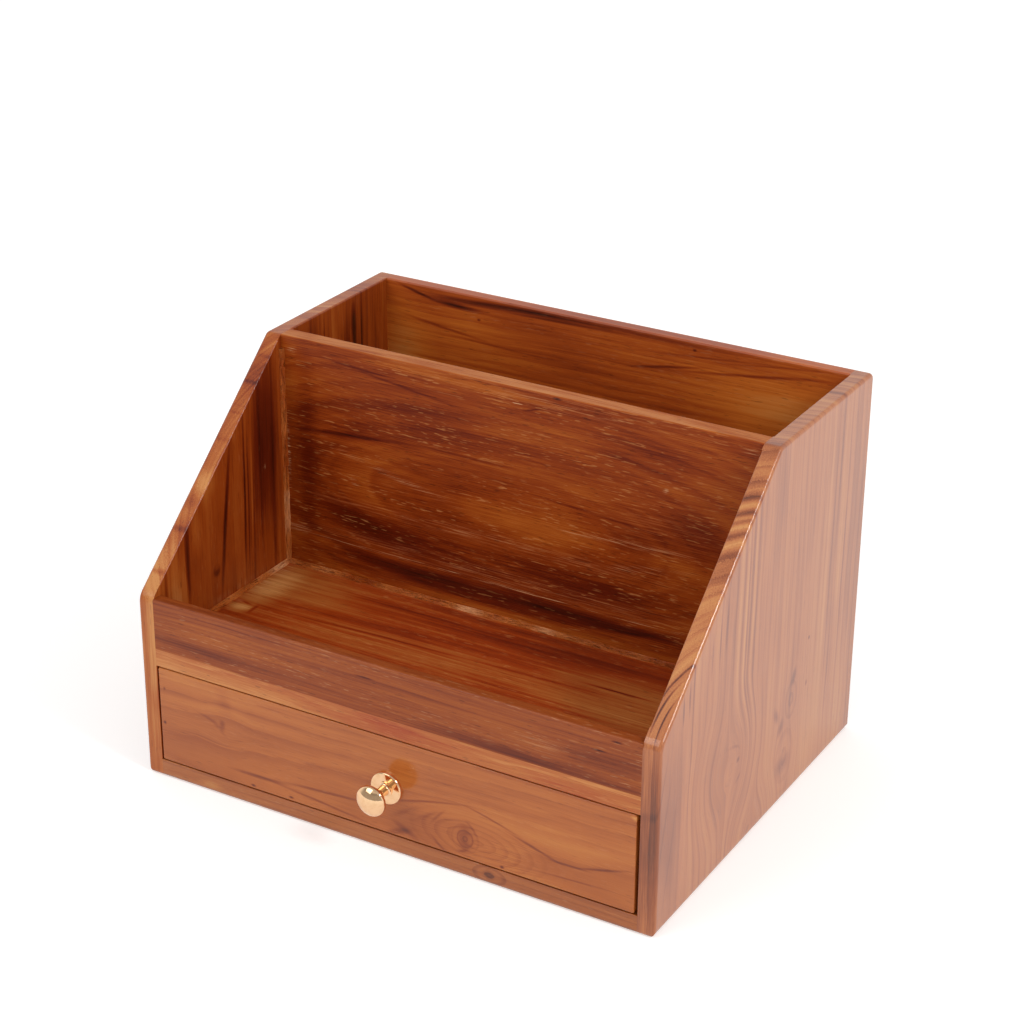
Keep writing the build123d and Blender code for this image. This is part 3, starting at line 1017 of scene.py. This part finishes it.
# %% Glue beads
TRAY_LEFT = round(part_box("left_side_panel")[1].x / MM, 2)
TRAY_RIGHT = round(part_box("right_side_panel")[0].x / MM, 2)
TRAY_FRONT = round(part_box("front_lip")[1].y / MM, 2)
TRAY_BACK = round(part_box("divider_panel")[0].y / MM, 2)
TRAY_FLOOR = round(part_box("middle_shelf")[1].z / MM, 2)
DIVIDER_TOP = round(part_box("divider_panel")[1].z / MM, 2)
GLUE_TOP = DIVIDER_TOP - 8.5
FRONT_LEFT = (TRAY_LEFT, TRAY_FRONT, TRAY_FLOOR)
FRONT_RIGHT = (TRAY_RIGHT, TRAY_FRONT, TRAY_FLOOR)
BACK_LEFT = (TRAY_LEFT, TRAY_BACK, TRAY_FLOOR)
BACK_RIGHT = (TRAY_RIGHT, TRAY_BACK, TRAY_FLOOR)
TOP_LEFT = (TRAY_LEFT, TRAY_BACK, GLUE_TOP)
TOP_RIGHT = (TRAY_RIGHT, TRAY_BACK, GLUE_TOP)
# The bead in millimetres: how wide, how deep in the joint, its rim, its cuts and its unevenness
BEAD = 2.4
SUNK = 0.3
THIN_RIM = 0.25
CUT_EVERY = 6
UNEVEN = 0.28
CLOSE = 0.01
# The profile of the hollow, its steps, and the share of the length that makes an edge a long one
HOLLOW = 0.2
HOLLOW_STEPS = 5
LONG_EDGE = 0.9


def bead_box(corner, end, inward):
    """The lowest and the highest corner of the bar that a bead is made from."""
    low = [min(a, b) - (0 if side else SUNK) for a, b, side in zip(corner, end, inward)]
    high = [max(a, b) + (0 if side else SUNK) for a, b, side in zip(corner, end, inward)]
    for axis, side in enumerate(inward):
        if side > 0:
            low[axis], high[axis] = corner[axis] - SUNK, corner[axis] + BEAD
        elif side < 0:
            low[axis], high[axis] = corner[axis] - BEAD, corner[axis] + SUNK
    return low, high


def glue_bead(name, corner, end, inward, seed):
    """A hollow bead in the corner between two boards, from one point to another in millimetres.

    inward says for each axis which way the open side of the corner lies, 0 along the bead.
    """
    low, high = bead_box(corner, end, inward)
    length = max(high[axis] - low[axis] for axis in range(3))
    bpy.ops.object.select_all(action="DESELECT")
    bpy.ops.mesh.primitive_cube_add(
        size=1,
        location=[(a + b) / 2 * MM for a, b in zip(low, high)],
        scale=[(b - a) * MM for a, b in zip(low, high)],
    )
    bead = bpy.context.active_object
    bead.name = name
    bpy.ops.object.transform_apply(location=True, rotation=True, scale=True)

    def on_open_side(point):
        return all(
            side == 0 or abs(point[axis] / MM - (corner[axis] + side * BEAD)) < CLOSE
            for axis, side in enumerate(inward)
        )

    bpy.ops.object.mode_set(mode="EDIT")
    bpy.ops.mesh.select_mode(type="EDGE")
    bpy.ops.mesh.select_all(action="DESELECT")
    bpy.ops.object.mode_set(mode="OBJECT")
    points = bead.data.vertices
    for line in bead.data.edges:
        line.select = all(on_open_side(points[k].co) for k in line.vertices)
    bpy.ops.object.mode_set(mode="EDIT")
    bpy.ops.mesh.bevel(
        offset=(BEAD - THIN_RIM) * MM,
        offset_type="OFFSET",
        segments=HOLLOW_STEPS,
        profile=HOLLOW,
    )
    bpy.ops.object.mode_set(mode="OBJECT")
    for line in bead.data.edges:
        a, b = (points[k].co for k in line.vertices)
        line.select = (a - b).length > LONG_EDGE * length * MM
    bpy.ops.object.mode_set(mode="EDIT")
    bpy.ops.mesh.subdivide(number_cuts=round(length / CUT_EVERY))
    bpy.ops.mesh.select_all(action="SELECT")
    bpy.ops.transform.vertex_random(offset=UNEVEN * MM, uniform=0.5, seed=seed)
    bpy.ops.mesh.normals_make_consistent(inside=False)
    bpy.ops.object.mode_set(mode="OBJECT")
    bpy.ops.object.shade_smooth_by_angle(angle=math.radians(50))
    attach(bead, "carcass")
    return bead


BEADS = (
    ("glue_floor_left", FRONT_LEFT, BACK_LEFT, (1, 0, 1)),
    ("glue_floor_right", FRONT_RIGHT, BACK_RIGHT, (-1, 0, 1)),
    ("glue_floor_back", BACK_LEFT, BACK_RIGHT, (0, -1, 1)),
    ("glue_floor_front", FRONT_LEFT, FRONT_RIGHT, (0, 1, 1)),
    ("glue_divider_left", BACK_LEFT, TOP_LEFT, (1, -1, 0)),
    ("glue_divider_right", BACK_RIGHT, TOP_RIGHT, (-1, -1, 0)),
)
for k, (name, start, stop, inward) in enumerate(BEADS):
    bead = glue_bead(name, start, stop, inward, seed=k)
    bead.data.materials.append(glue)
    print(name, len(bead.data.polygons), "faces")

# %% [markdown]
# The table is plain and pale. It is a large plane whose colour is nearly white. Seen by the camera
# or in a reflection it is lifted a little so that it meets the white of the room, and the soft
# shadow round the organizer stays.

# %% Floor
FLOOR_SIZE = 12
LIFT_WHEN_SEEN = 0.18
LIFT_FOR_CAMERA = 0.2
bpy.ops.object.select_all(action="DESELECT")
bpy.ops.mesh.primitive_plane_add(size=FLOOR_SIZE, location=(0, 0, 0))
floor = bpy.context.active_object
floor.name = "pale_floor"
floor_material, tree, shader = new_material("pale_floor")
seen = add(tree, "LightPath")
directly = (seen, "Is Camera Ray")
in_mirror = calc(tree, "MAXIMUM", directly, (seen, "Is Glossy Ray"))
any_view = calc(tree, "MAXIMUM", in_mirror, (seen, "Is Transmission Ray"))
lift = calc(tree, "MULTIPLY", any_view, LIFT_WHEN_SEEN)
lift = calc(tree, "MULTIPLY_ADD", directly, LIFT_FOR_CAMERA, lift)
fill(
    tree,
    shader,
    {
        "Base Color": linear("#F2F1EF"),
        "Roughness": 0.9,
        "Emission Color": linear("#FFFFFF"),
        "Emission Strength": lift,
    },
)
floor.data.materials.append(floor_material)
print("floor:", FLOOR_SIZE, "m wide")

# %% [markdown]
# The room is a white tent: light comes from everywhere, so the world does most of the work. The
# tent's roof is dimmer than its walls, which keeps the wood of the sloping edges golden. Flat tops
# mirror the wall behind, so that wall is a little dimmer in mirrors and the tops stay brown. The
# front is open towards the photographer, and the darker room seen there is what gives the round
# knob its shape: polished metal shows only what stands round it. The camera itself sees plain
# white behind the organizer.
#
# Each part of the tent is a range of directions, given by how far up or how far back they point.

# %% Light of the tent
TENT_LIGHT = 0.98
ROOF_LIGHT = 0.55
DARK_OPENING = 0.6
DIM_BEHIND = 0.25
ROOF_UP = (0.3, 0.85)
OPENING_BACK = (-0.2, -0.5)
OPENING_UP = (0.62, 0.5)
BEHIND_BACK = (0.55, 0.75)
world = bpy.data.worlds.new("white_tent")
bpy.context.scene.world = world
world.use_nodes = True
tree = world.node_tree
tree.nodes.clear()
seen = add(tree, "LightPath")
direction = add(tree, "TexCoord")
direction = add(tree, "SeparateXYZ", {0: (direction, "Generated")})
roof = spread(tree, (direction, "Z"), *ROOF_UP, low=1.0, high=ROOF_LIGHT, soft=True)
front = spread(tree, (direction, "Y"), *OPENING_BACK)
below = spread(tree, (direction, "Z"), *OPENING_UP)
opening = calc(tree, "MULTIPLY", front, below)
behind = spread(tree, (direction, "Y"), *BEHIND_BACK)
walls = calc(tree, "MULTIPLY_ADD", behind, -DIM_BEHIND, roof)
mirrored = calc(tree, "MULTIPLY_ADD", opening, -DARK_OPENING, walls)
lit = calc(tree, "MULTIPLY", roof, TENT_LIGHT)
mirror_ray = calc(tree, "MAXIMUM", (seen, "Is Glossy Ray"), (seen, "Is Transmission Ray"))
level = add(tree, "Mix", {0: mirror_ray, 2: lit, 3: mirrored})
strength = add(tree, "Mix", {0: (seen, "Is Camera Ray"), 2: level, 3: 1.0})
tent = add(tree, "Background", {"Color": linear("#FFFFFF"), "Strength": strength})
add(tree, "OutputWorld", {"Surface": tent})
print("tent light", TENT_LIGHT, "at the walls and", ROOF_LIGHT * TENT_LIGHT, "at the roof")

# %% [markdown]
# One soft lamp stands to the right, half way up. It gives the thin bright lines along the rounded
# edges, and a second, weaker one fills from the front left.

# %% Lamps


def soft_lamp(name, direction, distance, size, watts):
    """A square soft lamp that faces the organizer from the given direction."""
    data = bpy.data.lights.new(name, "AREA")
    data.size = size
    data.energy = watts
    lamp = bpy.data.objects.new(name, data)
    bpy.context.scene.collection.objects.link(lamp)
    towards = Vector(direction).normalized()
    lamp.matrix_world = Matrix.Translation(VIEW_TARGET + towards * distance) @ (
        towards.to_track_quat("Z", "Y").to_matrix().to_4x4()
    )
    return lamp


key = soft_lamp("key_from_the_right", (0.8, -0.2, 0.62), distance=1.9, size=0.35, watts=10)
weak = soft_lamp("fill_from_the_left", (-0.5, -0.9, 0.8), distance=2.2, size=1.2, watts=9)
print("lamps:", key.name, "and", weak.name)
